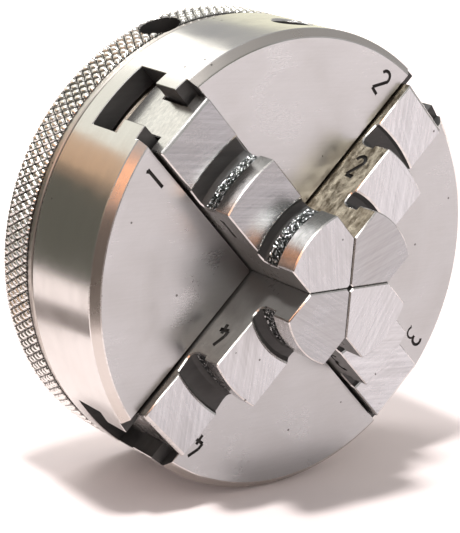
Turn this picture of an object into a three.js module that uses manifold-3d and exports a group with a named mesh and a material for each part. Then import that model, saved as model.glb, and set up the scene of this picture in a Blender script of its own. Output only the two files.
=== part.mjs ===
// Small four-jaw self-centring scroll chuck, 80 mm class, turned by hand with tommy bars.
// All sizes in millimetres. Every piece is drawn on a spindle axis along +Z, rear face at
// z = 0 and jaws at the top, and the finished group is laid over so the jaws face -Y.
import * as THREE from "three";
import Module from "manifold-3d";

// ---- Driving dimensions ------------------------------------------------------------
const BODY = { radius: 40, face: 28, rear: 9.1, frontChamfer: 1.35, rearChamfer: 0.9 };
const CAVITY = { radius: 36, top: 16.15 };            // rear recess that houses the scroll
const HUB = { radius: 18, shoulder: 3.4, bossRadius: 12.6, bore: 9.2, boreChamfer: 0.9 };
const SLOT = { width: 12.6, waist: 7.6, railFront: 26, railRear: 20.65, floor: 13.8 };
const RING = {
  radius: 40, front: 8.75, rear: 0.4, chamfer: 0.5, neck: 35.5, plate: 13.75,
  bore: 18.35, recess: 25.4, recessDepth: 3.35,
};
const SCROLL = { pitch: 5, ridge: 2.2, tip: 15.8, inner: 18.8, outer: 35.2, phase: 1.0 };
const COVER = { outer: 25.05, inner: 12.95, rear: 0.4, front: 3.05, chamfer: 0.4 };
const SCREW = { count: 4, circle: 15.5, head: 2.9, shank: 1.5, length: 9, slot: 0.8, slotDepth: 0.7 };
const JAW = {
  width: 11.9, waist: 6.8, length: 36.6, tip: 0.45, gap: 0.34, foot: 16.1, waistRear: 20.35,
  waistFront: 26.7, bevel: 0.6,
};
const STEPS = {                                       // heights are measured from the body face
  low: 1.8, middle: 7.8, top: 14.9,
  outer: { riser: 24.2, lip: 28.2, reliefTop: 3.3, undercut: 0.6, dip: 0.85 },
  inner: { riser: 13.2, lip: 15.3, reliefTop: 10.4, undercut: 0.7, dip: 0.6 },
};
const TOOTH = { tip: 14.1, clearance: 0.32, first: 8.2, last: 34.4 };
const TOMMY = { diameter: 7, bodyDepth: 10, bodyHeight: 20.4, bodyAngle: 87,
  ringDepth: 11, ringHeight: 4.5, ringAngle: 110 };
const JAW_ANGLES = [135, 45, 315, 225];               // numbered clockwise from upper left
const EPS = 0.5;                                      // how far cutters run past a surface
const ROUND = 80;                                     // facets round a large turned surface

// ---- Solid helpers -----------------------------------------------------------------
const wasm = await Module();
wasm.setup();
const rad = THREE.MathUtils.degToRad;

function toSolid(geometry) {
  const weld = new Map();
  const verts = [];
  const remap = [];
  const position = geometry.attributes.position;
  for (let i = 0; i < position.count; i++) {
    const point = [position.getX(i), position.getY(i), position.getZ(i)];
    const key = point.map((value) => Math.round(value * 1e5)).join();
    if (!weld.has(key)) {
      weld.set(key, verts.length / 3);
      verts.push(...point);
    }
    remap.push(weld.get(key));
  }
  const index = geometry.index ? Array.from(geometry.index.array) : remap.map((_, i) => i);
  const tris = [];
  for (let i = 0; i < index.length; i += 3) {
    const [a, b, c] = [remap[index[i]], remap[index[i + 1]], remap[index[i + 2]]];
    if (a !== b && b !== c && c !== a) tris.push(a, b, c);
  }
  return new wasm.Manifold(new wasm.Mesh({
    numProp: 3,
    vertProperties: new Float32Array(verts),
    triVerts: new Uint32Array(tris),
  }));
}

function toGeometry(solid) {
  const mesh = solid.getMesh();
  const geometry = new THREE.BufferGeometry();
  geometry.setAttribute("position", new THREE.BufferAttribute(mesh.vertProperties, 3));
  geometry.setIndex(new THREE.BufferAttribute(mesh.triVerts, 1));
  return geometry;
}

// A turned solid from a closed (radius, height) outline, about +Z.
function turned(outline, facets = ROUND) {
  const points = outline.map(([r, z]) => new THREE.Vector2(r, z));
  if (outline[0][0] > 0) points.push(points[0].clone());
  const geometry = new THREE.LatheGeometry(points, facets);
  geometry.rotateX(Math.PI / 2);
  const solid = toSolid(geometry);
  if (solid.volume() > 0) return solid;
  const index = geometry.index.array;
  for (let i = 0; i < index.length; i += 3) [index[i], index[i + 1]] = [index[i + 1], index[i]];
  return toSolid(geometry);
}

// A straight prism: a closed (x, y) outline raised from z0 to z1.
function prism(outline, z0, z1) {
  const shape = new THREE.Shape(outline.map(([x, y]) => new THREE.Vector2(x, y)));
  const geometry = new THREE.ExtrudeGeometry(shape, { depth: z1 - z0, bevelEnabled: false });
  geometry.translate(0, 0, z0);
  return toSolid(geometry);
}

function slab(x0, x1, y0, y1, z0, z1) {
  return prism([[x0, y0], [x1, y0], [x1, y1], [x0, y1]], z0, z1);
}

function cylinder(radius, z0, z1, facets) {
  return turned([[0, z0], [radius, z0], [radius, z1], [0, z1]], facets);
}

const turn = (solid, degrees) => solid.rotate([0, 0, degrees]);

// A blind radial hole bored inwards from the rim.
function radialHole(rim, depth, height, angle) {
  const bore = cylinder(TOMMY.diameter / 2, rim - depth, rim + EPS, 28).rotate([0, 90, 0]);
  return turn(bore.translate([0, 0, height]), angle);
}

// ---- Chuck body --------------------------------------------------------------------
function bodySolid() {
  const { radius, face, rear, frontChamfer, rearChamfer } = BODY;
  let solid = turned([
    [HUB.bore + HUB.boreChamfer, 0], [HUB.bossRadius, 0],
    [HUB.bossRadius, HUB.shoulder], [HUB.radius, HUB.shoulder],
    [HUB.radius, CAVITY.top], [CAVITY.radius, CAVITY.top],
    [CAVITY.radius, rear], [radius - rearChamfer, rear],
    [radius, rear + rearChamfer], [radius, face - frontChamfer],
    [radius - frontChamfer, face], [HUB.bore, face],
    [HUB.bore, HUB.boreChamfer],
  ]);
  const half = SLOT.width / 2;
  const waist = SLOT.waist / 2;
  const reach = radius + EPS;
  for (const angle of JAW_ANGLES) {
    const channel = slab(0, reach, -half, half, SLOT.floor, SLOT.railRear);
    const throat = slab(0, reach, -waist, waist, SLOT.railRear - EPS, SLOT.railFront + EPS);
    const mouth = slab(0, reach, -half, half, SLOT.railFront, face + EPS);
    for (const cut of [channel, throat, mouth]) solid = solid.subtract(turn(cut, angle));
  }
  for (const side of [0, 180]) {
    const hole = radialHole(radius, TOMMY.bodyDepth, TOMMY.bodyHeight, TOMMY.bodyAngle + side);
    solid = solid.subtract(hole);
  }
  for (let i = 0; i < SCREW.count; i++) {
    const hole = cylinder(SCREW.shank + 0.3, HUB.shoulder - EPS, SCREW.length + 0.8, 16);
    solid = solid.subtract(turn(hole.translate([SCREW.circle, 0, 0]), i * 90));
  }
  return solid;
}

// ---- Scroll ring -------------------------------------------------------------------
// The ridge follows radius = phase - pitch * angle / turn, so turning the ring
// counter-clockwise, seen from the front, carries the jaws outwards.
const ridgeRadius = (angle) => SCROLL.phase - (SCROLL.pitch * angle) / (2 * Math.PI);

function ridgeSolid() {
  const stepsPerTurn = 48;
  const turnsIn = (SCROLL.phase - SCROLL.inner + SCROLL.pitch) / SCROLL.pitch;
  const turnsOut = (SCROLL.phase - SCROLL.outer - SCROLL.pitch) / SCROLL.pitch;
  const first = Math.floor(turnsOut * stepsPerTurn);
  const last = Math.ceil(turnsIn * stepsPerTurn);
  const inside = [];
  const outside = [];
  for (let i = first; i <= last; i++) {
    const angle = (i / stepsPerTurn) * 2 * Math.PI;
    const [c, s] = [Math.cos(angle), Math.sin(angle)];
    const r = ridgeRadius(angle);
    inside.push([(r - SCROLL.ridge / 2) * c, (r - SCROLL.ridge / 2) * s]);
    outside.push([(r + SCROLL.ridge / 2) * c, (r + SCROLL.ridge / 2) * s]);
  }
  const count = inside.length;
  const layers = [RING.plate - EPS, SCROLL.tip];
  const verts = [];
  for (const z of layers) for (const [x, y] of [...inside, ...outside]) verts.push(x, y, z);
  const at = (layer, side, i) => layer * 2 * count + side * count + i;
  const tris = [];
  const quad = (a, b, c, d) => tris.push(a, b, c, a, c, d);
  for (let i = 0; i + 1 < count; i++) {
    quad(at(0, 0, i), at(0, 0, i + 1), at(0, 1, i + 1), at(0, 1, i));
    quad(at(1, 0, i), at(1, 1, i), at(1, 1, i + 1), at(1, 0, i + 1));
    quad(at(0, 0, i), at(1, 0, i), at(1, 0, i + 1), at(0, 0, i + 1));
    quad(at(0, 1, i), at(0, 1, i + 1), at(1, 1, i + 1), at(1, 1, i));
  }
  const end = count - 1;
  quad(at(0, 0, 0), at(0, 1, 0), at(1, 1, 0), at(1, 0, 0));
  quad(at(0, 0, end), at(1, 0, end), at(1, 1, end), at(0, 1, end));
  const geometry = new THREE.BufferGeometry();
  geometry.setAttribute("position", new THREE.Float32BufferAttribute(verts, 3));
  geometry.setIndex(tris);
  const band = turned([
    [SCROLL.inner, RING.plate - 2 * EPS], [SCROLL.outer, RING.plate - 2 * EPS],
    [SCROLL.outer, SCROLL.tip + EPS], [SCROLL.inner, SCROLL.tip + EPS],
  ]);
  return toSolid(geometry).intersect(band);
}

function ringSolid() {
  const { radius, front, rear, chamfer, neck, plate, bore, recess, recessDepth } = RING;
  let solid = turned([
    [recess, rear], [radius - chamfer, rear], [radius, rear + chamfer],
    [radius, front - chamfer], [radius - chamfer, front], [neck, front], [neck, plate],
    [bore, plate], [bore, recessDepth], [recess, recessDepth],
  ]);
  solid = solid.add(ridgeSolid());
  for (const side of [0, 180]) {
    const hole = radialHole(radius, TOMMY.ringDepth, TOMMY.ringHeight, TOMMY.ringAngle + side);
    solid = solid.subtract(hole);
  }
  return solid;
}

// ---- Jaws --------------------------------------------------------------------------
// Ring-shaped cutter that leaves one convex riser and the relief groove at its foot.
function stepCutter(floor, step, ceiling) {
  const far = BODY.radius + 4;
  return turned([
    [step.riser, ceiling], [step.riser, BODY.face + step.reliefTop],
    [step.riser - step.undercut, floor + 0.9], [step.riser - 0.3 * step.undercut, floor - 0.3],
    [step.riser + 0.9, floor - step.dip], [step.lip, floor], [far, floor], [far, ceiling],
  ], 144);
}

// One tooth outline in jaw coordinates. Its flanks are the tightest curves that still
// clear the scroll groove at every radius the tooth visits, so it is crescent shaped.
function toothOutline(middle) {
  const groove = (SCROLL.pitch - SCROLL.ridge) / 2 - TOOTH.clearance;
  const samples = 6;
  const inner = [];
  const outer = [];
  for (let i = 0; i <= samples; i++) {
    const v = JAW.width * (i / samples - 0.5);
    const shifts = [SCROLL.inner - 1, 24, 29, SCROLL.outer].map((distance) => {
      const sag = Math.hypot(distance, v) - distance;
      return -sag - (SCROLL.pitch * Math.atan2(v, distance)) / (2 * Math.PI);
    });
    inner.push([middle - groove + Math.max(...shifts), v]);
    outer.push([middle + groove + Math.min(...shifts), v]);
  }
  return [...inner.reverse(), ...outer];
}

function jawSolid(angle) {
  const half = JAW.width / 2;
  const lift = JAW.gap / Math.SQRT2;
  const top = BODY.face + STEPS.top;
  const blank = [
    [JAW.tip, JAW.tip - lift], [half + lift, half], [JAW.length, half],
    [JAW.length, -half], [half + lift, -half], [JAW.tip, lift - JAW.tip],
  ];
  let solid = prism(blank.reverse(), JAW.foot, top);
  const waist = JAW.waist / 2;
  for (const side of [1, -1]) {
    const [near, far] = [side * waist, side * (half + EPS)].sort((a, b) => a - b);
    solid = solid.subtract(slab(-EPS, JAW.length + EPS, near, far, JAW.waistRear, JAW.waistFront));
  }
  const low = BODY.face + STEPS.low;
  const middle = BODY.face + STEPS.middle;
  solid = solid.subtract(stepCutter(low, STEPS.outer, top + EPS));
  solid = solid.subtract(stepCutter(middle, STEPS.inner, top + EPS));
  const bevel = prism([[JAW.length - JAW.bevel, low], [JAW.length + EPS, low + EPS],
    [JAW.length + EPS, low - JAW.bevel - EPS]].map(([x, z]) => [x, -z]), -half - EPS, half + EPS);
  solid = solid.subtract(bevel.rotate([-90, 0, 0]));
  const base = SCROLL.phase + SCROLL.pitch / 2 - (SCROLL.pitch * angle) / 360;
  const start = base + SCROLL.pitch * Math.ceil((TOOTH.first - base) / SCROLL.pitch);
  for (let u = start; u < TOOTH.last; u += SCROLL.pitch) {
    solid = solid.add(prism(toothOutline(u), TOOTH.tip, JAW.foot + EPS));
  }
  return turn(solid, angle);
}

// ---- Cover and its screws ----------------------------------------------------------
function screwCone(radiusGap, rear) {
  const head = SCREW.head + radiusGap;
  const shank = SCREW.shank + radiusGap;
  return turned([
    [0, rear], [head, rear], [head, COVER.rear + 0.3 + radiusGap * 0.5],
    [shank, COVER.rear + 0.3 + SCREW.head - SCREW.shank + radiusGap * 0.5],
    [shank, SCREW.length], [0, SCREW.length],
  ], 24);
}

function coverSolid() {
  const { outer, inner, rear, front, chamfer } = COVER;
  let solid = turned([
    [inner, rear], [outer - chamfer, rear], [outer, rear + chamfer], [outer, front],
    [inner, front],
  ]);
  for (let i = 0; i < SCREW.count; i++) {
    const seat = screwCone(0.32, rear - EPS).translate([SCREW.circle, 0, 0]);
    solid = solid.subtract(turn(seat, i * 90));
  }
  return solid;
}

function screwSolid(index) {
  const half = SCREW.slot / 2;
  const slot = slab(-SCREW.head - EPS, SCREW.head + EPS, -half, half,
    COVER.rear - EPS, COVER.rear + SCREW.slotDepth);
  const screw = screwCone(0, COVER.rear).subtract(turn(slot, 20 + 35 * index));
  return turn(screw.translate([SCREW.circle, 0, 0]), index * 90);
}

// ---- Assembly ----------------------------------------------------------------------
const MATERIALS = {
  body: { color: 0xbdb9b8, roughness: 0.32 },
  ring: { color: 0xb4afa9, roughness: 0.36 },
  jaw: { color: 0xc6c4c4, roughness: 0.28 },
  cover: { color: 0xa9a6a3, roughness: 0.4 },
  screw: { color: 0x4a4846, roughness: 0.45 },
};

function named(name, solid, look) {
  const geometry = toGeometry(solid);
  geometry.rotateX(Math.PI / 2);
  geometry.computeVertexNormals();
  const material = new THREE.MeshStandardMaterial({ ...MATERIALS[look], metalness: 1 });
  material.name = look;
  const mesh = new THREE.Mesh(geometry, material);
  mesh.name = name;
  return mesh;
}

const chuck = new THREE.Group();
chuck.name = "lathe_chuck";
chuck.add(named("chuck_body", bodySolid(), "body"));
chuck.add(named("scroll_ring", ringSolid(), "ring"));
JAW_ANGLES.forEach((angle, i) => chuck.add(named(`jaw_${i + 1}`, jawSolid(angle), "jaw")));
chuck.add(named("cover_plate", coverSolid(), "cover"));
for (let i = 0; i < SCREW.count; i++) {
  chuck.add(named(`cover_screw_${i + 1}`, screwSolid(i), "screw"));
}

export default chuck;
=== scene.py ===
# %% [markdown]
# # A small four-jaw scroll chuck
#
# The chuck is bare steel that has been turned, milled, knurled and ground. Its whole look
# comes from how each of those cuts catches the light, so every piece here is rebuilt with
# round rims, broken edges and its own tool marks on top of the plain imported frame.
# This lesson loads the frame, makes the tools and the steel finishes, then the pieces one
# by one, and last the floor, the lights and the camera.

# %% Load the frame
import math
import bmesh
import bpy
from mathutils import Matrix, Vector


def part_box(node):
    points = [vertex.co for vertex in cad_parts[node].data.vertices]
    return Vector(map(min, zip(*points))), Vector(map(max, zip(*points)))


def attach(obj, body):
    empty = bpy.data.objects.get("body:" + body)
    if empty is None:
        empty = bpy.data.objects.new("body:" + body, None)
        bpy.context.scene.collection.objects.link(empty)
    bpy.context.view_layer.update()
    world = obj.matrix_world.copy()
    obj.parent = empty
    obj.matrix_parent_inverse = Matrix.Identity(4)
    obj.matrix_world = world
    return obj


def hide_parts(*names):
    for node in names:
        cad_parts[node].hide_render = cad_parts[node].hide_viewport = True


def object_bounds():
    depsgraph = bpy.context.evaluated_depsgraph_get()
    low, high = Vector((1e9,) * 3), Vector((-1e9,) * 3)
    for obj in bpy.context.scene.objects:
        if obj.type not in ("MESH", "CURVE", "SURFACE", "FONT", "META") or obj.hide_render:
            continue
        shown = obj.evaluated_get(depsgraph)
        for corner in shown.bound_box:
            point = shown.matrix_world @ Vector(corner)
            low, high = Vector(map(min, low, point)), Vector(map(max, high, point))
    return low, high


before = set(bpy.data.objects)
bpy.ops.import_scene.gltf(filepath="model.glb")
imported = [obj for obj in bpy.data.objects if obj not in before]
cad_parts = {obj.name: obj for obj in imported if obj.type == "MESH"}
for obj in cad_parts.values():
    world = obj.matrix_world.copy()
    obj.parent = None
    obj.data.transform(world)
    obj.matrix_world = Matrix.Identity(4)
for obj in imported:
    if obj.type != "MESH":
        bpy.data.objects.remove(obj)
cad_low, cad_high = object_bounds()

# %% [markdown]
# ## Sizes
#
# Every piece is drawn standing on the bench with the spindle axis along Z, in millimetres,
# because that is how a turned part is read. One turn about X then lays it over so that the
# jaws face the front. The outside sizes come from the frame's boxes. The inside ones are
# the chuck's own drawing sizes, all measured up from the rear seat.

# %% Drawing sizes
MM = 0.001                                               # one millimetre in the frame's metres
LAY_OVER = Matrix.Rotation(math.radians(90), 4, "X") @ Matrix.Scale(MM, 4)
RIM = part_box("scroll_ring")[1].z / MM
FACE = -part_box("chuck_body")[0].y / MM
JAW_TOP = -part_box("jaw_1")[0].y / MM
JAW_ANGLES = {1: 135, 2: 45, 3: 315, 4: 225}             # degrees round the spindle axis
JAW_BODIES = {1: "jaw_one", 2: "jaw_two", 3: "jaw_three", 4: "jaw_four"}
BODY = {"chamfer": 1.35, "rear_chamfer": 0.9, "rear": 9.1, "recess": 36, "recess_floor": 16.15,
        "hub": 18, "boss": 12.6, "shoulder": 3.4, "bore": 9.2}
SLOT = {"half": 6.3, "waist": 3.8, "floor": 13.8, "rail_rear": 20.65, "rail_front": 26.0}
JAW = {"half": 5.95, "waist": 3.4, "length": 36.6, "foot": 16.1, "rear": 20.35, "front": 26.7,
       "low": 1.8, "middle": 7.8}                        # the two lower steps stand this far out
BAR_HOLE = {"radius": 3.5, "body": (87, 20.4, 10), "ring": (110, 4.5, 11)}   # angle, height, depth
SCROLL = {"pitch": 5.0, "ridge": 2.2, "root": 13.75, "tip": 15.8, "inner": 18.8, "outer": 35.2,
          "phase": 1.0}
SCREW = {"circle": 15.5, "head": 2.9, "shank": 1.5, "count": 4}
print(f"rim radius {RIM:.2f}, face at {FACE:.2f}, jaw tops at {JAW_TOP:.2f} mm")

# %% [markdown]
# ## Workshop helpers
#
# The real chuck is cut from bar, so the shapes are made the same way: turn a blank, then
# cut slots and holes out of it. A boolean modifier does the cutting and its result is kept
# as a plain mesh. A cutter's faces carry the number of a finish, and whatever it cuts comes
# out with that finish. A recess is the usual one: painted near black and dull, as shade.

# %% Turn and mill
MAIN, RECESS, STAMP, SIDE, TORN, EDGE, TOP = range(7)    # the finishes a piece can carry


def open_slots(mesh):
    while len(mesh.materials) <= TOP:
        mesh.materials.append(None)


def new_piece(name, bm, finish=None):
    bmesh.ops.recalc_face_normals(bm, faces=bm.faces)
    mesh = bpy.data.meshes.new(name)
    if finish is not None:
        for face in bm.faces:
            face.material_index = finish
    bm.to_mesh(mesh)
    bm.free()
    open_slots(mesh)
    piece = bpy.data.objects.new(name, mesh)
    bpy.context.scene.collection.objects.link(piece)
    return piece


def turned(name, outline, steps=240, finish=MAIN):
    """A solid of revolution about Z from a closed (radius, height) outline.

    A point may carry a third number: the finish of the strip that starts there.
    """
    bm = bmesh.new()
    around = [(math.cos(2 * math.pi * i / steps), math.sin(2 * math.pi * i / steps))
              for i in range(steps)]
    rings = []
    for radius, height, *_ in outline:
        if radius == 0:
            rings.append([bm.verts.new((0, 0, height))] * steps)
        else:
            rings.append([bm.verts.new((radius * c, radius * s, height)) for c, s in around])
    for point, near, far in zip(outline, rings, rings[1:] + rings[:1]):
        for i in range(steps):
            j = (i + 1) % steps
            corners = list(dict.fromkeys((near[i], near[j], far[j], far[i])))
            if len(corners) > 2:
                bm.faces.new(corners).material_index = point[2] if len(point) > 2 else finish
    return new_piece(name, bm)


def milled(name, outline, low, high, finish=MAIN):
    """A straight prism from a closed (x, y) outline, with finishes as in turned."""
    bm = bmesh.new()
    bottom = [bm.verts.new((x, y, low)) for x, y, *_ in outline]
    top = [bm.verts.new((x, y, high)) for x, y, *_ in outline]
    bm.faces.new(bottom).material_index = finish
    bm.faces.new(top).material_index = finish
    for i, point in enumerate(outline):
        j = (i + 1) % len(outline)
        wall = bm.faces.new((bottom[i], bottom[j], top[j], top[i]))
        wall.material_index = point[2] if len(point) > 2 else finish
    return new_piece(name, bm)


def block(name, u, v, height, finish=RECESS):
    return milled(name, [(u[0], v[0]), (u[1], v[0]), (u[1], v[1]), (u[0], v[1])], *height, finish)


print("finish numbers:", dict(main=MAIN, recess=RECESS, stamp=STAMP, side=SIDE, torn=TORN,
                              edge=EDGE, top=TOP))


# %% Place and cut
def place(piece, matrix):
    piece.data.transform(matrix)
    return piece


def spun(piece, degrees, radius=0):
    """Moves a piece out to a radius, then turns it about the spindle axis."""
    place(piece, Matrix.Translation((radius, 0, 0)))
    return place(piece, Matrix.Rotation(math.radians(degrees), 4, "Z"))


def kept(piece):
    """Keeps what the modifiers make as the piece's own plain mesh."""
    graph = bpy.context.evaluated_depsgraph_get()
    result = bpy.data.meshes.new_from_object(piece.evaluated_get(graph), depsgraph=graph)
    piece.modifiers.clear()
    old, piece.data = piece.data, result
    bpy.data.meshes.remove(old)
    return piece


def cut(piece, tools, operation="DIFFERENCE"):
    for i in range(len(piece.data.materials)):
        piece.data.materials[i] = None                   # slots are matched by number alone
    for tool in tools:
        step = piece.modifiers.new("cut", "BOOLEAN")
        step.solver, step.operation, step.object = "MANIFOLD", operation, tool
    kept(piece)
    for tool in tools:
        bpy.data.objects.remove(tool)
    return piece

# %% [markdown]
# No real edge is knife sharp. The outside edges get a narrow bevel that catches the light,
# except in the milled recesses and the torn grooves, which nobody reaches with a stone.

# %% Break the edges
def edge_broken(piece, width, bright=True):
    """Breaks the sharp outside edges with a small flat bevel, as a deburring stone does."""
    bm = bmesh.new()
    bm.from_mesh(piece.data)
    bmesh.ops.remove_doubles(bm, verts=bm.verts, dist=0.004)
    bmesh.ops.dissolve_limit(bm, angle_limit=math.radians(0.6), verts=bm.verts, edges=bm.edges,
                             delimit={"MATERIAL"})
    weight = bm.edges.layers.float.new("bevel_weight_edge")
    for edge in bm.edges:
        if len(edge.link_faces) == 2 and edge.calc_face_angle_signed() > math.radians(32):
            finishes = {face.material_index for face in edge.link_faces}
            left_sharp = finishes <= {RECESS, TORN} or finishes == {SIDE}
            edge[weight] = 0.0 if left_sharp else 1.0
    bm.to_mesh(piece.data)
    bm.free()
    step = piece.modifiers.new("edges", "BEVEL")
    step.width, step.segments = width, 1
    step.material = EDGE if bright else -1
    step.limit_method = "WEIGHT"
    step.use_clamp_overlap, step.harden_normals = False, False
    return kept(piece)


def crisp_between_finishes(mesh):
    """No shading runs over from one finish to the next."""
    bm = bmesh.new()
    bm.from_mesh(mesh)
    for edge in bm.edges:
        if len({face.material_index for face in edge.link_faces}) > 1:
            edge.smooth = False
    bm.to_mesh(mesh)
    bm.free()


# %% Hand a piece to the frame
def finished(piece, body, nodes, materials):
    """Lays the piece over, shades it, and hands it to the frame."""
    place(piece, LAY_OVER)
    piece.data.shade_smooth()
    piece.data.set_sharp_from_angle(angle=math.radians(28))
    crisp_between_finishes(piece.data)
    for i in range(TOP + 1):
        piece.data.materials[i] = materials[min(i, len(materials) - 1)]
    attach(piece, body)
    if nodes:
        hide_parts(*nodes)
    print(f"{piece.name}: {len(piece.data.polygons)} faces on {body}")
    return piece

# %% [markdown]
# ## Steel finishes
#
# All the metal is one alloy, but no two surfaces were made by the same tool. Four small
# node groups hold the marks: turning rings that run round the spindle axis, straight
# grinding scratches, the stains and pinpricks of handling, and the crumbs of torn metal.
# Most give a height for the bump and a tone for colour and roughness. They read Object
# coordinates, so the marks stay fixed to the metal when a jaw slides or the ring turns.

# %% A node group builder
def node_group(name, inputs, outputs):
    tree = bpy.data.node_groups.new(name, "ShaderNodeTree")
    for label, value in inputs.items():
        kind = "NodeSocketVector" if isinstance(value, tuple) else "NodeSocketFloat"
        socket = tree.interface.new_socket(label, in_out="INPUT", socket_type=kind)
        socket.default_value = value
    for label in outputs:
        tree.interface.new_socket(label, in_out="OUTPUT", socket_type="NodeSocketFloat")
    return tree, tree.nodes.new("NodeGroupInput"), tree.nodes.new("NodeGroupOutput")


def feed(tree, socket, value):
    """Links another node's output in, or sets the socket's own constant."""
    if isinstance(value, (int, float)):
        socket.default_value = value
    elif isinstance(value, tuple):
        socket.default_value = (*value, 1)
    elif value is not None:
        tree.links.new(value, socket)


def math_node(tree, operation, first, second=None, third=None, clamp=False):
    node = tree.nodes.new("ShaderNodeMath")
    node.operation, node.use_clamp = operation, clamp
    for socket, value in zip(node.inputs, (first, second, third)):
        feed(tree, socket, value)
    return node.outputs[0]


def noise_node(tree, vector, scale, detail=2.0, roughness=0.5, distortion=0.0):
    node = tree.nodes.new("ShaderNodeTexNoise")
    for label, value in {"Vector": vector, "Scale": scale, "Detail": detail,
                         "Roughness": roughness, "Distortion": distortion}.items():
        feed(tree, node.inputs[label], value)
    return node.outputs[0]


def combine(tree, x, y, z):
    node = tree.nodes.new("ShaderNodeCombineXYZ")
    for socket, value in zip(node.inputs, (x, y, z)):
        feed(tree, socket, value)
    return node.outputs[0]


def separate(tree, vector):
    node = tree.nodes.new("ShaderNodeSeparateXYZ")
    tree.links.new(vector, node.inputs[0])
    return node.outputs


def distance_node(tree, first, second):
    """The distance from the spindle axis, from the two coordinates across it."""
    return math_node(tree, "SQRT", math_node(
        tree, "ADD", math_node(tree, "MULTIPLY", first, first),
        math_node(tree, "MULTIPLY", second, second)))


def mixed(tree, factor, first, second):
    """Goes from the first colour to the second as the factor goes from 0 to 1."""
    node = tree.nodes.new("ShaderNodeMix")
    node.data_type = "RGBA"
    for label, value in {"Factor": factor, "A": first, "B": second}.items():
        feed(tree, node.inputs[label], value)
    return node.outputs["Result"]


# %% Turning rings
def turning_rings_group():
    """Fine rings about the Y axis: the same at every angle, changing with radius and depth."""
    tree, given, result = node_group(
        "turning_rings", {"Vector": (0.0, 0.0, 0.0), "Fineness": 4000.0}, ["Height", "Tone"])
    x, y, z = separate(tree, given.outputs["Vector"])
    radius = distance_node(tree, x, z)
    drift = noise_node(tree, given.outputs["Vector"], 40.0, 0.0)
    wander = math_node(tree, "MULTIPLY", drift, 0.0002)
    across = combine(tree, math_node(tree, "ADD", radius, wander), y, 0.0)
    fine = noise_node(tree, across, given.outputs["Fineness"], 3.0, 0.7)
    coarse = noise_node(tree, across, math_node(
        tree, "MULTIPLY", given.outputs["Fineness"], 0.12), 2.0, 0.6)
    tree.links.new(fine, result.inputs["Height"])
    tree.links.new(math_node(tree, "MULTIPLY_ADD", coarse, 0.6, math_node(
        tree, "MULTIPLY", fine, 0.4)), result.inputs["Tone"])
    return tree


turning_rings = turning_rings_group()
print("group:", turning_rings.name)


# %% Grinding scratches
def grinding_group():
    """Long thin scratches in two crossing directions, from a grinding wheel and a stone."""
    tree, given, result = node_group(
        "grinding_scratches", {"Vector": (0.0, 0.0, 0.0), "Direction": 0.0, "Fineness": 2600.0},
        ["Height", "Tone"])
    layers = []
    for turn, stretch, weight in ((0.0, 0.03, 0.65), (0.5, 0.06, 0.35)):
        spin = tree.nodes.new("ShaderNodeVectorRotate")
        spin.rotation_type = "Y_AXIS"
        tree.links.new(given.outputs["Vector"], spin.inputs["Vector"])
        tree.links.new(math_node(tree, "ADD", given.outputs["Direction"], turn),
                       spin.inputs["Angle"])
        x, y, z = separate(tree, spin.outputs[0])
        across = combine(tree, math_node(tree, "MULTIPLY", x, stretch), y, z)
        streak = noise_node(tree, across, given.outputs["Fineness"], 3.0, 0.65)
        layers.append(math_node(tree, "MULTIPLY", streak, weight))
    both = math_node(tree, "ADD", *layers)
    tree.links.new(both, result.inputs["Height"])
    tree.links.new(math_node(tree, "MULTIPLY_ADD", both, 2.4, -0.7, clamp=True),
                   result.inputs["Tone"])
    return tree


grinding_scratches = grinding_group()
print("group:", grinding_scratches.name)


# %% Handling marks
def handling_group():
    """Soft blotches of old oil, and a few pinprick dents."""
    tree, given, result = node_group(
        "handling_marks", {"Vector": (0.0, 0.0, 0.0), "Blotch": 90.0, "Pits": 420.0},
        ["Stain", "Pit"])
    cloud = noise_node(tree, given.outputs["Vector"], given.outputs["Blotch"], 5.0, 0.6, 0.4)
    tree.links.new(math_node(tree, "MULTIPLY_ADD", cloud, 2.6, -0.95, clamp=True),
                   result.inputs["Stain"])
    cells = tree.nodes.new("ShaderNodeTexVoronoi")
    tree.links.new(given.outputs["Vector"], cells.inputs["Vector"])
    tree.links.new(given.outputs["Pits"], cells.inputs["Scale"])
    chosen = tree.nodes.new("ShaderNodeSeparateColor")
    tree.links.new(cells.outputs["Color"], chosen.inputs[0])
    rare = math_node(tree, "GREATER_THAN", chosen.outputs[0], 0.8)
    near = math_node(tree, "LESS_THAN", cells.outputs["Distance"], 0.085)
    tree.links.new(math_node(tree, "MULTIPLY", rare, near), result.inputs["Pit"])
    return tree


handling_marks = handling_group()
print("group:", handling_marks.name)


# %% Torn metal
def torn_group():
    """The crumbled surface that a cutter leaves when it tears the steel, as relief, with its
    glitter painted as bright specks on near black.
    """
    tree, given, result = node_group(
        "torn_marks", {"Vector": (0.0, 0.0, 0.0), "Crumb": 3000.0}, ["Height", "PaintedGlint"])
    crumbs = tree.nodes.new("ShaderNodeTexVoronoi")
    tree.links.new(given.outputs["Vector"], crumbs.inputs["Vector"])
    tree.links.new(given.outputs["Crumb"], crumbs.inputs["Scale"])
    wide = noise_node(tree, given.outputs["Vector"], math_node(
        tree, "MULTIPLY", given.outputs["Crumb"], 0.7), 3.0, 0.6)
    tree.links.new(math_node(tree, "ADD", crumbs.outputs["Distance"], wide),
                   result.inputs["Height"])
    tree.links.new(math_node(tree, "MULTIPLY_ADD", wide, 10.0, -5.0, clamp=True),
                   result.inputs["PaintedGlint"])
    return tree


torn_marks = torn_group()
print("group:", torn_marks.name)
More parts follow.
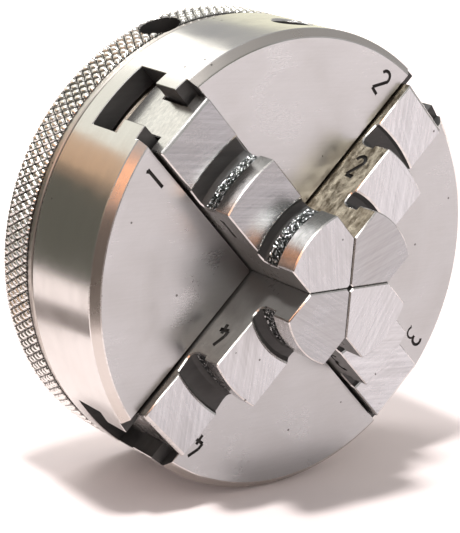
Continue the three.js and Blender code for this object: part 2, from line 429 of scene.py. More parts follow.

# %% [markdown]
# A finish is then a handful of choices: two close greys for the metal, how strong the
# rings or scratches are, how stained it is and how rough. The metal is fully metallic,
# so its colour is its reflection. The marks tilt that reflection through a bump node.
# Only the recesses and the jaw sides near the spindle axis are partly a dull dark film: painted
# shade.

# %% Finishes
def steel(name, light, dark, roughness, rings=0.0, scratches=0.0, direction=0.0,
          fineness=3000.0, stain=0.3, stain_colour=(0.30, 0.25, 0.2), bump=0.00002, torn=0.0,
          grooves=None, centre_shade_reach=0.0, metal_share=1.0, contrast=1.0):
    """One finish. Grooves names a height attribute whose low parts are painted near black as
    shade.
    Shade between the jaws is painted dark and less metallic near the spindle axis, and fades out
    over a given distance from it, in metres.
    """
    material = bpy.data.materials.new(name)
    material.use_nodes = True
    tree = material.node_tree
    shader = tree.nodes["Principled BSDF"]
    shader.inputs["Metallic"].default_value = metal_share
    place_in = tree.nodes.new("ShaderNodeTexCoord").outputs["Object"]

    def group(source, **values):
        node = tree.nodes.new("ShaderNodeGroup")
        node.node_tree = source
        tree.links.new(place_in, node.inputs["Vector"])
        for label, value in values.items():
            node.inputs[label].default_value = value
        return node

    marks = group(handling_marks)
    turned_in = group(turning_rings, Fineness=fineness)
    ground_in = group(grinding_scratches, Direction=direction, Fineness=fineness * 0.8)
    if torn:
        tearing = group(torn_marks)
        tone, height = tearing.outputs["PaintedGlint"], tearing.outputs["Height"]
        bump = 0.00012
    else:
        total = max(rings + scratches, 0.001)
        tone = math_node(
            tree, "ADD", math_node(tree, "MULTIPLY", turned_in.outputs["Tone"], rings / total),
            math_node(tree, "MULTIPLY", ground_in.outputs["Tone"], scratches / total))
        height = math_node(
            tree, "ADD", math_node(tree, "MULTIPLY", turned_in.outputs["Height"], rings),
            math_node(tree, "MULTIPLY", ground_in.outputs["Height"], scratches))
        height = math_node(tree, "SUBTRACT", height, marks.outputs["Pit"])
        tone = math_node(tree, "MULTIPLY_ADD", tone, contrast, 0.5 - contrast / 2, clamp=True)

    surface = mixed(tree, tone, dark, light)
    surface = mixed(tree, math_node(tree, "MULTIPLY", marks.outputs["Stain"], stain),
                    surface, stain_colour)
    surface = mixed(tree, math_node(tree, "MULTIPLY", marks.outputs["Pit"], 0.8),
                    surface, (0.06, 0.055, 0.05))
    # The low parts of the named height attribute are painted near black: painted shade in the
    # grooves.
    if grooves:
        depth = tree.nodes.new("ShaderNodeAttribute")
        depth.attribute_name = grooves
        crest = math_node(tree, "MULTIPLY_ADD", depth.outputs["Fac"], 2.2, -0.35, clamp=True)
        surface = mixed(tree, crest, (0.035, 0.033, 0.03), surface)
    # Near the spindle axis the colour is painted dark and the metal made dull: painted shade
    # between the jaws.
    if centre_shade_reach:
        x, _, z = separate(tree, place_in)
        unshaded = math_node(tree, "MULTIPLY_ADD", distance_node(tree, x, z), 1 / centre_shade_reach, -0.35,
                          clamp=True)
        surface = mixed(tree, unshaded, (0.12, 0.117, 0.112), surface)
        tree.links.new(unshaded, shader.inputs["Metallic"])
    tree.links.new(surface, shader.inputs["Base Color"])

    worn = math_node(tree, "MULTIPLY_ADD", marks.outputs["Stain"], 0.12, roughness - 0.04)
    rough = math_node(tree, "MULTIPLY_ADD", tone, -0.1, worn, clamp=True)
    tree.links.new(rough, shader.inputs["Roughness"])
    relief = tree.nodes.new("ShaderNodeBump")
    relief.inputs["Distance"].default_value = bump
    relief.inputs["Strength"].default_value = 1.0
    tree.links.new(height, relief.inputs["Height"])
    tree.links.new(relief.outputs["Normal"], shader.inputs["Normal"])
    return material


# %% All the finishes
turned_steel = steel("turned_body_steel", (0.66, 0.645, 0.625), (0.56, 0.545, 0.53), 0.24,
                     rings=1.0, scratches=0.2, fineness=2600, stain=0.12, bump=0.000006)
face_steel = steel("ground_face_steel", (0.465, 0.475, 0.487), (0.405, 0.413, 0.423), 0.36,
                   rings=0.5, scratches=0.5, fineness=4200, stain=0.12, bump=0.000006)
chamfer_steel = steel("turned_chamfer_steel", (0.62, 0.585, 0.55), (0.5, 0.465, 0.44), 0.28,
                      rings=1.0, fineness=3200, stain=0.3, bump=0.000008)
# Slots, holes, the bore and the jaws' relief grooves are painted near black and partly dull, as
# shade.
painted_shade_recess = steel("milled_recess_steel", (0.044, 0.043, 0.042), (0.028, 0.027, 0.027), 0.6,
                      scratches=1.0, fineness=1400, stain=0.5, stain_colour=(0.05, 0.047, 0.044),
                      bump=0.00003, metal_share=0.3)
stamped_mark = steel("stamped_mark", (0.05, 0.048, 0.046), (0.025, 0.024, 0.024), 0.6,
                     scratches=1.0, fineness=900, stain=0.4, stain_colour=(0.02, 0.018, 0.016))
# The knurl's grooves are painted near black as shade, through its crest attribute.
knurled_steel = steel("knurled_ring_steel", (0.86, 0.84, 0.81), (0.7, 0.68, 0.65), 0.24,
                      rings=0.6, scratches=0.2, fineness=1800, stain=0.2, bump=0.000005,
                      grooves="crest")
scroll_steel = steel("scroll_steel", (0.62, 0.59, 0.555), (0.47, 0.44, 0.41), 0.36,
                     rings=1.0, fineness=1500, stain=0.4, bump=0.00001)
# The jaw sides are painted darker and duller near the spindle axis, as shade between the jaws.
jaw_side = steel("jaw_side_steel", (0.25, 0.235, 0.215), (0.16, 0.15, 0.14), 0.36,
                 scratches=1.0, fineness=1700, stain=0.5, stain_colour=(0.1, 0.09, 0.08),
                 bump=0.00002, centre_shade_reach=0.02)
oiled_side = steel("oiled_side_steel", (0.56, 0.5, 0.4), (0.09, 0.075, 0.055), 0.32,
                   scratches=1.0, fineness=1100, stain=0.6, stain_colour=(0.14, 0.1, 0.06),
                   bump=0.0001, contrast=2.0)
# The torn grooves: real relief, with their glints painted as bright specks on near black.
torn_painted_glint_steel = steel("torn_groove_painted_glint_steel", (0.9, 0.92, 0.92), (0.04, 0.045, 0.045), 0.3,
                   torn=1.0, stain=0.1)
bright_edge = steel("stoned_edge_steel", (0.76, 0.745, 0.735), (0.5, 0.49, 0.48), 0.28,
                    scratches=1.0, fineness=1500, stain=0.3, bump=0.00001)
cover_steel = steel("cover_plate_steel", (0.58, 0.565, 0.55), (0.4, 0.385, 0.375), 0.34,
                    rings=1.0, fineness=1700, stain=0.35, bump=0.00002)
screw_steel = steel("black_screw_steel", (0.11, 0.105, 0.1), (0.05, 0.048, 0.046), 0.42,
                    rings=0.4, fineness=2500, stain=0.3, stain_colour=(0.1, 0.06, 0.04))
print("finishes made:", sum(m.name.endswith(("_steel", "_mark")) for m in bpy.data.materials))

# %% [markdown]
# ## Stamped numbers
#
# Each slot and its jaw carry the same number, struck with a hand punch. A punch leaves a
# round-bottomed groove of even width, so each stroke is a path with a round section swept
# along it. Geometry Nodes sweep the section, and the result is cut out of the steel.

# %% A stroke tool in Geometry Nodes
def geometry_tree(name, inputs):
    tree = bpy.data.node_groups.new(name, "GeometryNodeTree")
    tree.interface.new_socket("Geometry", in_out="INPUT", socket_type="NodeSocketGeometry")
    kinds = {float: "NodeSocketFloat", int: "NodeSocketInt"}
    for label, value in inputs.items():
        socket = tree.interface.new_socket(label, in_out="INPUT", socket_type=kinds[type(value)])
        socket.default_value = value
    tree.interface.new_socket("Geometry", in_out="OUTPUT", socket_type="NodeSocketGeometry")
    return tree, tree.nodes.new("NodeGroupInput"), tree.nodes.new("NodeGroupOutput")


def closing_nodes(tree, result, geometry, material=None):
    """Every tree ends by making its copies real and giving them their material."""
    real = tree.nodes.new("GeometryNodeRealizeInstances")
    paint = tree.nodes.new("GeometryNodeSetMaterial")
    paint.inputs["Material"].default_value = material
    tree.links.new(geometry, real.inputs[0])
    tree.links.new(real.outputs[0], paint.inputs["Geometry"])
    tree.links.new(paint.outputs[0], result.inputs["Geometry"])


def run_tree(piece, tree, values):
    step = piece.modifiers.new(tree.name, "NODES")
    step.node_group = tree
    for item in tree.interface.items_tree:
        if item.in_out == "INPUT" and item.name in values:
            step[item.identifier] = values[item.name]
    kept(piece)
    open_slots(piece.data)
    return piece


def swept(tree, path, radius, facets):
    """Sweeps a round section along a path, with closed ends."""
    section = tree.nodes.new("GeometryNodeCurvePrimitiveCircle")
    feed(tree, section.inputs["Radius"], radius)
    feed(tree, section.inputs["Resolution"], facets)
    sweep = tree.nodes.new("GeometryNodeCurveToMesh")
    sweep.inputs["Fill Caps"].default_value = True
    tree.links.new(path, sweep.inputs["Curve"])
    tree.links.new(section.outputs[0], sweep.inputs["Profile Curve"])
    return sweep.outputs[0]


def stroke_tree():
    tree, given, result = geometry_tree("punched_stroke", {"Radius": 0.28, "Facets": 12})
    path = tree.nodes.new("GeometryNodeMeshToCurve")
    tree.links.new(given.outputs["Geometry"], path.inputs[0])
    solid = swept(tree, path.outputs[0], given.outputs["Radius"], given.outputs["Facets"])
    closing_nodes(tree, result, solid, stamped_mark)
    return tree


punched_stroke = stroke_tree()


def arc(cx, cy, rx, ry, start, end, count=12):
    return [(cx + rx * math.cos(math.radians(start + (end - start) * i / count)),
             cy + ry * math.sin(math.radians(start + (end - start) * i / count)))
            for i in range(count + 1)]


# %% The numbers
# Each stroke is a list of points in a box one unit high, and how deep it was struck.
DIGITS = {
    1: [([(0.3, 1.0), (0.3, 0.0)], 1.0), ([(0.19, 0.9), (0.3, 0.98)], 1.0)],
    2: [(arc(0.3, 0.75, 0.24, 0.24, 170, -30), 1.0), ([(0.5, 0.64), (0.1, 0.05)], 1.0),
        ([(0.1, 0.03), (0.5, 0.0)], 1.0)],
    3: [(arc(0.28, 0.73, 0.22, 0.24, 140, -95), 1.0),
        (arc(0.26, 0.26, 0.24, 0.24, 80, -120), 0.35),
        ([(0.1, 0.04), (0.14, 0.01)], 1.0)],
    4: [([(0.3, 1.0), (0.1, 0.5)], 1.0), ([(0.1, 0.5), (0.1, 0.24)], 1.0),
        ([(0.1, 0.24), (0.56, 0.3)], 1.0), ([(0.34, 0.44), (0.38, 0.0)], 1.0)],
}


def punch(number, height, centre, across, up, out, radius=0.31):
    """The closed strokes of one number, centred on a point, as cutting tools."""
    tools = []
    for stroke, depth in DIGITS[number]:
        bm = bmesh.new()
        lift = out * (radius * (1.0 - 0.8 * depth))
        verts = [bm.verts.new(centre + lift + across * ((x - 0.3) * height)
                              + up * ((y - 0.5) * height)) for x, y in stroke]
        for a, b in zip(verts, verts[1:]):
            bm.edges.new((a, b))
        tool = run_tree(new_piece("stroke", bm), punched_stroke, {"Radius": radius})
        for face in tool.data.polygons:
            face.material_index = STAMP
        tools.append(tool)
    return tools


print("numbers drawn:", sorted(DIGITS))

# %% [markdown]
# ## The chuck body
#
# One turned blank with a chamfered front, a recess at the back for the scroll and a hub
# for the spindle. Four slots are milled through it. Each has an H section: full width at
# the front, two rails that hold the jaw in, and full width again behind them.

# %% Body
def radial_hole(name, angle, height, depth):
    """A drilled hole with a coned bottom and a small bright countersink."""
    radius, cone, sink, clear = BAR_HOLE["radius"], 1.2, 0.3, 0.25
    bore = turned(name, [(0, RIM - depth), (radius, RIM - depth + cone),
                         (radius, RIM - sink, EDGE), (radius + sink + clear, RIM + clear),
                         (0, RIM + clear)], 48, RECESS)
    place(bore, Matrix.Translation((0, 0, height)) @ Matrix.Rotation(math.radians(90), 4, "Y"))
    return spun(bore, angle)


# Where each number was struck: along its slot and beside it. No two are quite alike.
FACE_NUMBERS = {1: (33.2, 8.7), 2: (33.2, 10.0), 3: (33.2, 9.6), 4: (33.4, 8.2)}
NUMBER_HEIGHT = 4.3


def make_body():
    recess, hub, boss, bore = BODY["recess"], BODY["hub"], BODY["boss"], BODY["bore"]
    rear, shoulder, mouth = BODY["rear"], BODY["shoulder"], 0.9
    body = turned("body_steel", [
        (bore + mouth, 0), (boss, 0), (boss, shoulder), (hub, shoulder),
        (hub, BODY["recess_floor"]), (recess, BODY["recess_floor"]), (recess, rear),
        (RIM - BODY["rear_chamfer"], rear), (RIM, rear + BODY["rear_chamfer"]),
        (RIM, FACE - BODY["chamfer"], TORN), (RIM - BODY["chamfer"], FACE, SIDE),
        (bore, FACE, RECESS), (bore, mouth)])
    tools = []
    for number, angle in JAW_ANGLES.items():
        half, waist = SLOT["half"], SLOT["waist"]
        for v, height in ((half, (SLOT["floor"], SLOT["rail_rear"])),
                          (waist, (SLOT["rail_rear"] - 1, SLOT["rail_front"] + 1)),
                          (half, (SLOT["rail_front"], FACE + 2))):
            tools.append(spun(block("slot", (0, RIM + 3), (-v, v), height), angle))
    angle, height, depth = BAR_HOLE["body"]
    tools += [radial_hole("bar_hole", angle + side, height, depth) for side in (0, 180)]
    for i in range(SCREW["count"]):
        hole = turned("screw_hole", [(0, 2), (1.8, 2), (1.8, 9.8), (0, 9.8)], 24, RECESS)
        tools.append(spun(hole, 90 * i, SCREW["circle"]))
    cut(body, tools)
    edge_broken(body, 0.12)
    numbers = []
    for number, (along, beside) in FACE_NUMBERS.items():
        turn = Matrix.Rotation(math.radians(JAW_ANGLES[number]), 3, "Z")
        numbers += punch(number, NUMBER_HEIGHT, turn @ Vector((along, beside, FACE)),
                         turn @ Vector((0, -1, 0)), turn @ Vector((1, 0, 0)), Vector((0, 0, 1)))
    return cut(body, numbers)


body = finished(make_body(), "body", ["chuck_body"],
                [turned_steel, painted_shade_recess, stamped_mark, face_steel, chamfer_steel,
                 bright_edge])

# %% [markdown]
# ## The knurled scroll ring
#
# The rim is gripped by hand, so it is rolled with a diamond knurl: two sets of slanting
# grooves that cross and leave rows of small teeth. The teeth follow a rule, so a fine
# plain band is turned first and Geometry Nodes press the grooves into it by angle and
# height. Where the rim is chamfered the grooves run out, which leaves the blunt, rounded
# tooth ends of a real knurl.

# %% Knurl tree
KNURL_TEETH = 154


def knurl_tree():
    tree, given, result = geometry_tree("diamond_knurl", {
        "Teeth": KNURL_TEETH, "Row": 2.8, "Depth": 0.5, "Crest": 1.6, "Radius": 40.0})
    x, y, z = separate(tree, tree.nodes.new("GeometryNodeInputPosition").outputs[0])
    turn = math_node(tree, "DIVIDE", math_node(tree, "ARCTAN2", y, x), 2 * math.pi)
    round_count = math_node(tree, "MULTIPLY", turn, given.outputs["Teeth"])
    rise = math_node(tree, "DIVIDE", z, given.outputs["Row"])
    teeth = []
    for mix in ("ADD", "SUBTRACT"):
        phase = math_node(tree, "FRACT", math_node(tree, mix, round_count, rise))
        ramp = math_node(tree, "ABSOLUTE", math_node(tree, "MULTIPLY_ADD", phase, 2.0, -1.0))
        teeth.append(math_node(tree, "SUBTRACT", 1.0, ramp))
    tooth = math_node(tree, "MULTIPLY", math_node(tree, "MINIMUM", *teeth),
                      given.outputs["Crest"], clamp=True)
    rounded = math_node(tree, "SINE", math_node(tree, "MULTIPLY", tooth, math.pi / 2))
    radius = distance_node(tree, x, y)
    pressed = math_node(tree, "SUBTRACT", given.outputs["Radius"], math_node(
        tree, "MULTIPLY", math_node(tree, "SUBTRACT", 1.0, rounded), given.outputs["Depth"]))
    limited = math_node(tree, "MINIMUM", radius, pressed)
    scale = math_node(tree, "DIVIDE", limited, radius)
    moved = combine(tree, math_node(tree, "MULTIPLY", x, scale),
                    math_node(tree, "MULTIPLY", y, scale), z)
    outer = math_node(tree, "GREATER_THAN", radius, math_node(
        tree, "SUBTRACT", given.outputs["Radius"], 0.8))
    crest = tree.nodes.new("GeometryNodeStoreNamedAttribute")
    crest.data_type, crest.domain = "FLOAT", "POINT"
    crest.inputs["Name"].default_value = "crest"
    floor = math_node(tree, "SUBTRACT", given.outputs["Radius"], given.outputs["Depth"])
    tree.links.new(math_node(tree, "DIVIDE", math_node(tree, "SUBTRACT", limited, floor),
                             given.outputs["Depth"], clamp=True), crest.inputs["Value"])
    tree.links.new(given.outputs["Geometry"], crest.inputs["Geometry"])
    shift = tree.nodes.new("GeometryNodeSetPosition")
    tree.links.new(crest.outputs[0], shift.inputs["Geometry"])
    tree.links.new(outer, shift.inputs["Selection"])
    tree.links.new(moved, shift.inputs["Position"])
    closing_nodes(tree, result, shift.outputs[0], knurled_steel)
    return tree


def by_height_on_rim(piece, low, high, finish):
    """Keeps the main finish for the knurled band and gives the rest another."""
    for face in piece.data.polygons:
        x, y, z = face.center
        if math.hypot(x, y) < RIM - 0.75 or not low < z < high:
            face.material_index = finish
        else:
            face.material_index = MAIN


print("knurl teeth in a row:", KNURL_TEETH)


# %% Ring and scroll
def scroll_ridge():
    """The flat spiral thread, its ends ground away where it meets the bore and the rim."""
    steps = 96
    bm = bmesh.new()
    rows = []
    low = math.floor((SCROLL["phase"] - SCROLL["outer"] - 2) / SCROLL["pitch"] * steps)
    high = math.ceil((SCROLL["phase"] - SCROLL["inner"] + 2) / SCROLL["pitch"] * steps)
    for i in range(low, high + 1):
        angle = 2 * math.pi * i / steps
        middle = SCROLL["phase"] - SCROLL["pitch"] * i / steps
        inner = max(middle - SCROLL["ridge"] / 2, SCROLL["inner"])
        outer = min(middle + SCROLL["ridge"] / 2, SCROLL["outer"])
        if outer - inner < 0.05:
            continue
        c, s = math.cos(angle), math.sin(angle)
        rows.append([bm.verts.new((r * c, r * s, z)) for r, z in (
            (inner, SCROLL["root"] - 0.5), (outer, SCROLL["root"] - 0.5),
            (outer, SCROLL["tip"]), (inner, SCROLL["tip"]))])
    for a, b in zip(rows, rows[1:]):
        for k in range(4):
            bm.faces.new((a[k], a[(k + 1) % 4], b[(k + 1) % 4], b[k]))
    bm.faces.new(rows[0])
    bm.faces.new(rows[-1])
    return new_piece("scroll_ridge", bm, SIDE)


def make_ring():
    """The knurled band with its smooth front land, a neck inside the body and the scroll.

    The land stands at the depth of the grooves, so the knurl's teeth end in the open.
    """
    rear, front, land, depth = 0.4, 8.75, 1.15, 0.5
    low, high = rear + depth, front - land - 0.25
    band = [(RIM, low + (high - low) * i / 40) for i in range(41)]
    outline = [(25.4, rear), (RIM - depth, rear), (RIM - depth / 2, rear + depth / 2)] + band
    outline += [(RIM - 0.25 * depth, high + 0.08), (RIM - 0.6 * depth, high + 0.16),
                (RIM - depth, high + 0.25), (RIM - depth - 0.02, front - 0.2),
                (RIM - depth - 0.22, front), (35.5, front), (35.5, 13.75), (18.35, 13.75),
                (18.35, 3.35), (25.4, 3.35)]
    ring = turned("ring_steel", outline, steps=KNURL_TEETH * 9)
    run_tree(ring, knurl_tree(), {"Teeth": KNURL_TEETH, "Radius": RIM, "Depth": depth})
    by_height_on_rim(ring, rear, high + 0.24, SIDE)
    angle, height, depth = BAR_HOLE["ring"]
    cut(ring, [scroll_ridge()], "UNION")
    return cut(ring, [radial_hole("bar_hole", angle + side, height, depth) for side in (0, 180)])


ring = finished(make_ring(), "scroll", ["scroll_ring"],
                [knurled_steel, painted_shade_recess, stamped_mark, scroll_steel, scroll_steel,
                 bright_edge])

# %% [markdown]
# ## The jaws
#
# Each jaw is one hardened block. Its flats and its round-backed risers are ground, and at
# the foot of each riser a coarse relief groove gives the wheel somewhere to run out, so
# those grooves keep a torn surface with painted glints, and their floors are painted dark
# as shade. The blank is milled, the steps are cut by ring-shaped cutters about the spindle
# axis, and the edges are broken with a stone.

# %% Jaw shapes
def step_ring(name, floor, riser, lip, relief_top, undercut, dip):
    """A ring-shaped cutter: the riser wall, the relief groove at its foot and the flat.

    Floor and relief_top are heights above the body's face. Riser and lip are the radii of
    the wall and of the groove's outer edge.
    """
    low = FACE + floor
    return turned(name, [
        (riser, JAW_TOP + 2, EDGE), (riser, FACE + relief_top, TORN),
        (riser - undercut, FACE + relief_top - 0.12, TORN), (riser - undercut, low + 0.6, TORN),
        (riser - 0.6 * undercut, low - 0.1, RECESS), (riser - 0.2 * undercut, low - 0.5, RECESS),
        (riser + 0.4, low - 1.05 * dip, RECESS), (riser + 1.2, low - 1.1 * dip, RECESS),
        (lip - 0.5, low - 0.75 * dip, RECESS), (lip, low, MAIN), (RIM + 5, low),
        (RIM + 5, JAW_TOP + 2)], 360)


def tooth(middle):
    """A crescent tooth: its flanks clear the spiral at every radius it visits."""
    room = (SCROLL["pitch"] - SCROLL["ridge"]) / 2 - 0.32
    inner, outer = [], []
    for i in range(9):
        v = 2 * JAW["half"] * (i / 8 - 0.5)
        shifts = [-(math.hypot(r, v) - r) - SCROLL["pitch"] * math.atan2(v, r) / (2 * math.pi)
                  for r in (SCROLL["inner"] - 1, 24, 29, SCROLL["outer"])]
        inner.append((middle - room + max(shifts), v))
        outer.append((middle + room + min(shifts), v))
    return milled("tooth", inner[::-1] + outer, 14.1, JAW["foot"] + 0.5, SIDE)


def make_jaw(number):
    angle = JAW_ANGLES[number]
    half, length = JAW["half"], JAW["length"]
    lift, tip = 0.1, 0.45                                # closed, the noses almost touch
    jaw = milled(f"jaw_{number}_steel", [
        (tip, tip - lift), (tip, lift - tip), (half + lift, -half), (length, -half, EDGE),
        (length, half), (half + lift, half)], JAW["foot"], JAW_TOP, SIDE)
    for face in jaw.data.polygons:
        if face.normal.z > 0.9:
            face.material_index = TOP
    tools = [block("side_groove", (-2, length + 2), sorted((side * JAW["waist"], side * 9)),
                   (JAW["rear"], JAW["front"]), SIDE) for side in (1, -1)]
    tools.append(step_ring("low_step", JAW["low"], 24.2, 28.2, 4.3, 0.6, 0.85))
    tools.append(step_ring("middle_step", JAW["middle"], 13.2, 15.3, 10.8, 0.7, 0.6))
    low = FACE + JAW["low"]
    wedge = milled("end_bevel", [(length - 0.6, -low), (length + 1, -low - 1.6),
                                 (length + 1, -low + 0.6)], -half - 1, half + 1, EDGE)
    tools.append(place(wedge, Matrix.Rotation(math.radians(-90), 4, "X")))
    cut(jaw, tools)
    base = SCROLL["phase"] + SCROLL["pitch"] / 2 - SCROLL["pitch"] * angle / 360
    middle = base + SCROLL["pitch"] * math.ceil((8.2 - base) / SCROLL["pitch"])
    teeth = []
    while middle < 34.4:
        teeth.append(tooth(middle))
        middle += SCROLL["pitch"]
    cut(jaw, teeth, "UNION")
    edge_broken(jaw, 0.2)
    side = 1 if number in (1, 2) else -1
    cut(jaw, punch(number, NUMBER_HEIGHT, Vector((18.5, side * half, FACE + 3.9)),
                   Vector((0, 0, side)), Vector((1, 0, 0)), Vector((0, side, 0)), 0.4))
    return spun(jaw, angle)


# %% Four jaws
# How bright the flats and the top of each jaw are, which is painted light and shade jaw by jaw,
# and which way the wheel ran on the top.
JAW_PAINTED_LIGHT_AND_GRINDING = {1: (0.58, 0.87, 100), 2: (0.98, 0.7, 20), 3: (1.0, 0.96, 60), 4: (0.95, 0.7, 150)}


def ground_steel(name, tone, run, contrast):
    light = (0.6 * tone, 0.62 * tone, 0.65 * tone)
    return steel(name, light, tuple(c * contrast for c in light), 0.33, scratches=1.0,
                 direction=math.radians(run), fineness=2300, stain=0.16, bump=0.00001)


for number, angle in JAW_ANGLES.items():
    flat_tone, top_tone, top_run = JAW_PAINTED_LIGHT_AND_GRINDING[number]
    # Each jaw's copies of the ground steel are painted lighter or darker as light and shade.
    ground_flat_painted_light = ground_steel(f"ground_flat_painted_light_{number}", flat_tone, angle + 40, 0.7)
    petal_steel = ground_steel(f"ground_top_painted_light_{number}", top_tone, top_run, 0.74)
    finished(make_jaw(number), JAW_BODIES[number], [f"jaw_{number}"],
             [ground_flat_painted_light, painted_shade_recess, stamped_mark,
              oiled_side if number == 2 else jaw_side, torn_painted_glint_steel, bright_edge, petal_steel])

print("jaws made:", sorted(JAW_ANGLES))

# %% [markdown]
# ## The back of the chuck
#
# A flat cover ring holds the scroll ring in. Four countersunk screws hold the cover. One
# screw is made and Geometry Nodes copy it round the circle, each with its slot left at
# its own angle, as screws are after tightening.

# %% Cover
def make_cover():
    cover = turned("cover_steel", [(12.95, 0.4), (24.65, 0.4), (25.05, 0.8), (25.05, 3.05),
                                   (12.95, 3.05)])
    seats = []
    for i in range(SCREW["count"]):
        seat = turned("seat", [(0, -1), (3.22, -1), (3.22, 0.86), (1.82, 2.26), (1.82, 5),
                               (0, 5)], 48)
        seats.append(spun(seat, 90 * i, SCREW["circle"]))
    return edge_broken(cut(cover, seats), 0.12)


finished(make_cover(), "body", ["cover_plate"],
         [cover_steel] * 5 + [bright_edge])


# %% Screws
def screw_circle_tree():
    tree, given, result = geometry_tree("screw_circle", {
        "Count": SCREW["count"], "Circle": SCREW["circle"], "Seed": 7})
    points = tree.nodes.new("GeometryNodePoints")
    tree.links.new(given.outputs["Count"], points.inputs["Count"])
    index = tree.nodes.new("GeometryNodeInputIndex").outputs[0]
    turn = math_node(tree, "DIVIDE", math_node(tree, "MULTIPLY", index, 2 * math.pi),
                     given.outputs["Count"])
    spot = combine(tree,
                   math_node(tree, "MULTIPLY", math_node(tree, "COSINE", turn),
                             given.outputs["Circle"]),
                   math_node(tree, "MULTIPLY", math_node(tree, "SINE", turn),
                             given.outputs["Circle"]), 0.0)
    tree.links.new(spot, points.inputs["Position"])
    chance = tree.nodes.new("FunctionNodeRandomValue")
    chance.data_type = "FLOAT"
    for socket in chance.inputs:
        if socket.type == "VALUE" and socket.name in ("Min", "Max"):
            socket.default_value = 0.0 if socket.name == "Min" else math.pi
    tree.links.new(given.outputs["Seed"], chance.inputs["Seed"])
    slot_angle = [s for s in chance.outputs if s.type == "VALUE"][0]
    copies = tree.nodes.new("GeometryNodeInstanceOnPoints")
    tree.links.new(points.outputs[0], copies.inputs["Points"])
    tree.links.new(given.outputs["Geometry"], copies.inputs["Instance"])
    tree.links.new(combine(tree, 0.0, 0.0, slot_angle), copies.inputs["Rotation"])
    closing_nodes(tree, result, copies.outputs[0], screw_steel)
    return tree


def make_screws():
    head, shank = SCREW["head"], SCREW["shank"]
    screw = turned("cover_screws", [(0, 0.4), (head, 0.4), (head, 0.7),
                                    (shank, 0.7 + head - shank), (shank, 9), (0, 9)], 48)
    slot = block("driver_slot", (-4, 4), (-0.4, 0.4), (-1, 1.1), MAIN)
    edge_broken(cut(screw, [slot]), 0.06, bright=False)
    run_tree(screw, screw_circle_tree(), {"Count": SCREW["count"]})
    return screw


finished(make_screws(), "body", [f"cover_screw_{i}" for i in range(1, 5)],
         [screw_steel] * 6)

# %% [markdown]
# The spindle screws into the hub, so its bore is threaded. A thread is a section that
# follows a helix: Geometry Nodes sweep a small triangle along a spiral path.

# %% Spindle thread
def thread_tree():
    tree, given, result = geometry_tree("spindle_thread", {
        "Radius": 9.25, "Pitch": 1.5875, "Turns": 7, "Ridge": 0.8})
    spiral = tree.nodes.new("GeometryNodeCurveSpiral")
    spiral.inputs["Resolution"].default_value = 72
    tree.links.new(given.outputs["Turns"], spiral.inputs["Rotations"])
    tree.links.new(given.outputs["Radius"], spiral.inputs["Start Radius"])
    tree.links.new(given.outputs["Radius"], spiral.inputs["End Radius"])
    tree.links.new(math_node(tree, "MULTIPLY", given.outputs["Pitch"], given.outputs["Turns"]),
                   spiral.inputs["Height"])
    ridge = swept(tree, spiral.outputs[0], given.outputs["Ridge"], 4)
    closing_nodes(tree, result, ridge, turned_steel)
    return tree


def make_thread():
    bm = bmesh.new()
    bm.verts.new((0, 0, 0))
    thread = run_tree(new_piece("spindle_thread", bm), thread_tree(), {"Turns": 7})
    return place(thread, Matrix.Translation((0, 0, 1.6)))


finished(make_thread(), "body", [], [turned_steel] * 6)

# %% [markdown]
# ## Floor, light and camera
#
# The chuck stands on its rim on a pale sheet that glows a little more with distance, so
# it stays white to the horizon. Steel has almost no colour of its own, so the studio
# around it matters: a bright room gives the pale flats, and upright coloured cards give
# the rim, the chamfer and the jaws' risers their dark, brown and white bands.

# %% Floor
def sheet(name, corners, colour, roughness=0.5, glow=0.0):
    bm = bmesh.new()
    bm.faces.new([bm.verts.new(c) for c in corners])
    mesh = bpy.data.meshes.new(name)
    bm.to_mesh(mesh)
    bm.free()
    card = bpy.data.objects.new(name, mesh)
    bpy.context.scene.collection.objects.link(card)
    material = bpy.data.materials.new(name)
    material.use_nodes = True
    shader = material.node_tree.nodes["Principled BSDF"]
    lit = 0.0 if glow == 1.0 else 1.0
    shader.inputs["Base Color"].default_value = (*(c * lit for c in colour), 1)
    shader.inputs["Roughness"].default_value = roughness
    shader.inputs["Specular IOR Level"].default_value = 0.2
    if glow:
        shader.inputs["Emission Color"].default_value = (*colour, 1)
        shader.inputs["Emission Strength"].default_value = glow
    mesh.materials.append(material)
    return card


ground = cad_low.z - 0.0002                              # a hair below the rim
floor = sheet("floor", [(-3, -3, ground), (3, -3, ground), (3, 3, ground), (-3, 3, ground)],
              (0.93, 0.82, 0.8), 0.6, 0.05)
tree = floor.data.materials[0].node_tree
away = tree.nodes.new("ShaderNodeVectorMath")
away.operation = "LENGTH"
tree.links.new(tree.nodes.new("ShaderNodeTexCoord").outputs["Object"], away.inputs[0])
brighter = tree.nodes.new("ShaderNodeMapRange")
brighter.clamp = False
for label, value in {"From Min": 0.09, "From Max": 0.32, "To Min": 0.04, "To Max": 0.42}.items():
    brighter.inputs[label].default_value = value
tree.links.new(away.outputs["Value"], brighter.inputs["Value"])
tree.links.new(math_node(tree, "MAXIMUM", brighter.outputs["Result"], 0.04),
               tree.nodes["Principled BSDF"].inputs["Emission Strength"])


# %% Studio cards
def studio_card(name, stand, width, low, high, colour):
    """An upright card turned to the chuck. Only the polished metal sees it."""
    centre = Vector((*stand, 0))
    side = Vector((-centre.y, centre.x, 0)).normalized() * (width / 2)
    corners = [centre - side + Vector((0, 0, low)), centre + side + Vector((0, 0, low)),
               centre + side + Vector((0, 0, high)), centre - side + Vector((0, 0, high))]
    card = sheet(name, corners, colour, 0.9, 1.0)
    card.visible_camera = card.visible_diffuse = card.visible_shadow = False
    return card


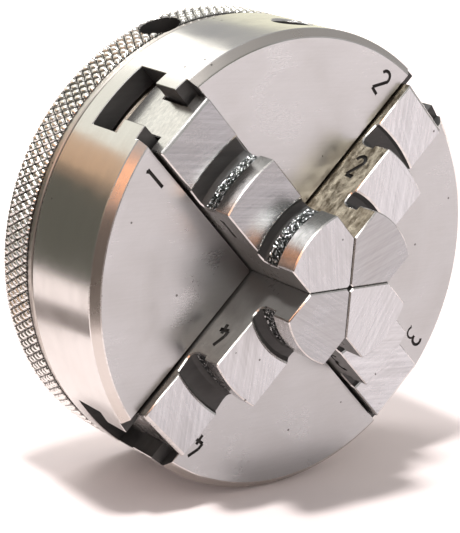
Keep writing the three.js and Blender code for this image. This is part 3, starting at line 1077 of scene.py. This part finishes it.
# Each card: where it stands, its width, its lower and upper edge, and its colour.
CARDS = {
    # Off to the left: what the turned rim shows, from its dark middle up to the tan band.
    "olive_card": ((-0.125, 0.08), 0.24, ground, 0.046, (0.15, 0.145, 0.118)),
    "brown_step_card": ((-0.125, 0.08), 0.24, 0.046, 0.056, (0.34, 0.25, 0.18)),
    "tan_card": ((-0.125, 0.08), 0.24, 0.056, 0.088, (0.9, 0.6, 0.39)),
    "rust_card": ((-0.062, 0.03), 0.05, ground, ground + 0.013, (0.36, 0.3, 0.28)),
    # Behind: two windows and a yellowish wall, for the top of the rim.
    "window_card": ((-0.1, 0.2), 0.2, 0.11, 0.3, (1.25, 1.24, 1.12)),
    "back_window_card": ((0.03, 0.22), 0.1, 0.15, 0.3, (2.2, 2.15, 2.0)),
    "yellow_wall_card": ((0.2, 0.25), 0.24, 0.02, 0.16, (1.12, 1.09, 0.86)),
    # In front: the dark and the orange of the chamfer, and three tones for the risers.
    "brown_card": ((-0.085, -0.066), 0.13, ground, 0.028, (0.2, 0.165, 0.145)),
    "warm_hand_card": ((-0.14, -0.17), 0.11, 0.07, 0.12, (3.2, 1.4, 0.65)),
    "lamp_card": ((-0.075, -0.2), 0.1, 0.12, 0.22, (6.5, 6.4, 6.1)),
    "grey_card": ((0.04, -0.2), 0.12, 0.1, 0.24, (0.25, 0.26, 0.22)),
}
for name, card in CARDS.items():
    studio_card(name, *card)
print("cards:", len(CARDS))

# %% [markdown]
# The room itself is a pale even light. The camera sees it as plain white, through a Light
# Path switch. A small lamp, high at the front left, throws the jaws' stepped shadow, and a
# large one behind fills the floor.

# %% Light
world = bpy.data.worlds.new("studio")
bpy.context.scene.world = world
world.use_nodes = True
tree = world.node_tree
room = tree.nodes["Background"]
room.inputs["Color"].default_value = (0.96, 0.955, 0.95, 1)
room.inputs["Strength"].default_value = 0.56
backdrop = tree.nodes.new("ShaderNodeBackground")
backdrop.inputs["Color"].default_value = (1, 1, 1, 1)
backdrop.inputs["Strength"].default_value = 1.0
seen = tree.nodes.new("ShaderNodeLightPath")
choose = tree.nodes.new("ShaderNodeMixShader")
tree.links.new(seen.outputs["Is Camera Ray"], choose.inputs["Fac"])
tree.links.new(room.outputs[0], choose.inputs[1])
tree.links.new(backdrop.outputs[0], choose.inputs[2])
tree.links.new(choose.outputs[0], tree.nodes["World Output"].inputs["Surface"])


def softbox(name, place_at, size, power, colour=(1, 1, 1)):
    lamp = bpy.data.lights.new(name, "AREA")
    lamp.shape, lamp.size, lamp.energy, lamp.color = "SQUARE", size, power, colour
    box = bpy.data.objects.new(name, lamp)
    box.location = place_at
    box.rotation_mode = "QUATERNION"
    box.rotation_quaternion = (-Vector(place_at)).to_track_quat("-Z", "Y")
    bpy.context.scene.collection.objects.link(box)


softbox("overhead", (-0.17, -0.09, 0.62), 0.08, 4.1)
softbox("behind", (-0.1, 0.35, 0.6), 0.25, 1.8)

# %% [markdown]
# The camera looks down on the chuck from the front left with a long lens, and is rolled a
# few degrees because it was held by hand.

# %% Camera
camera_data = bpy.data.cameras.new("camera")
camera_data.sensor_width, camera_data.lens = 36.0, 123.7
camera = bpy.data.objects.new("camera", camera_data)
camera.location = (-0.1944, -0.2540, 0.0803)
look = Vector((0.60304, 0.75299, -0.26334))
roll = Matrix.Rotation(math.radians(4.31), 4, "Z")
camera.matrix_world = (Matrix.Translation(camera.location)
                       @ look.to_track_quat("-Z", "Y").to_matrix().to_4x4() @ roll)
camera_data.clip_start, camera_data.clip_end = 0.01, 20
bpy.context.scene.collection.objects.link(camera)
bpy.context.scene.camera = camera
bpy.context.scene.view_settings.view_transform = "Standard"
print("camera at", tuple(camera.location))
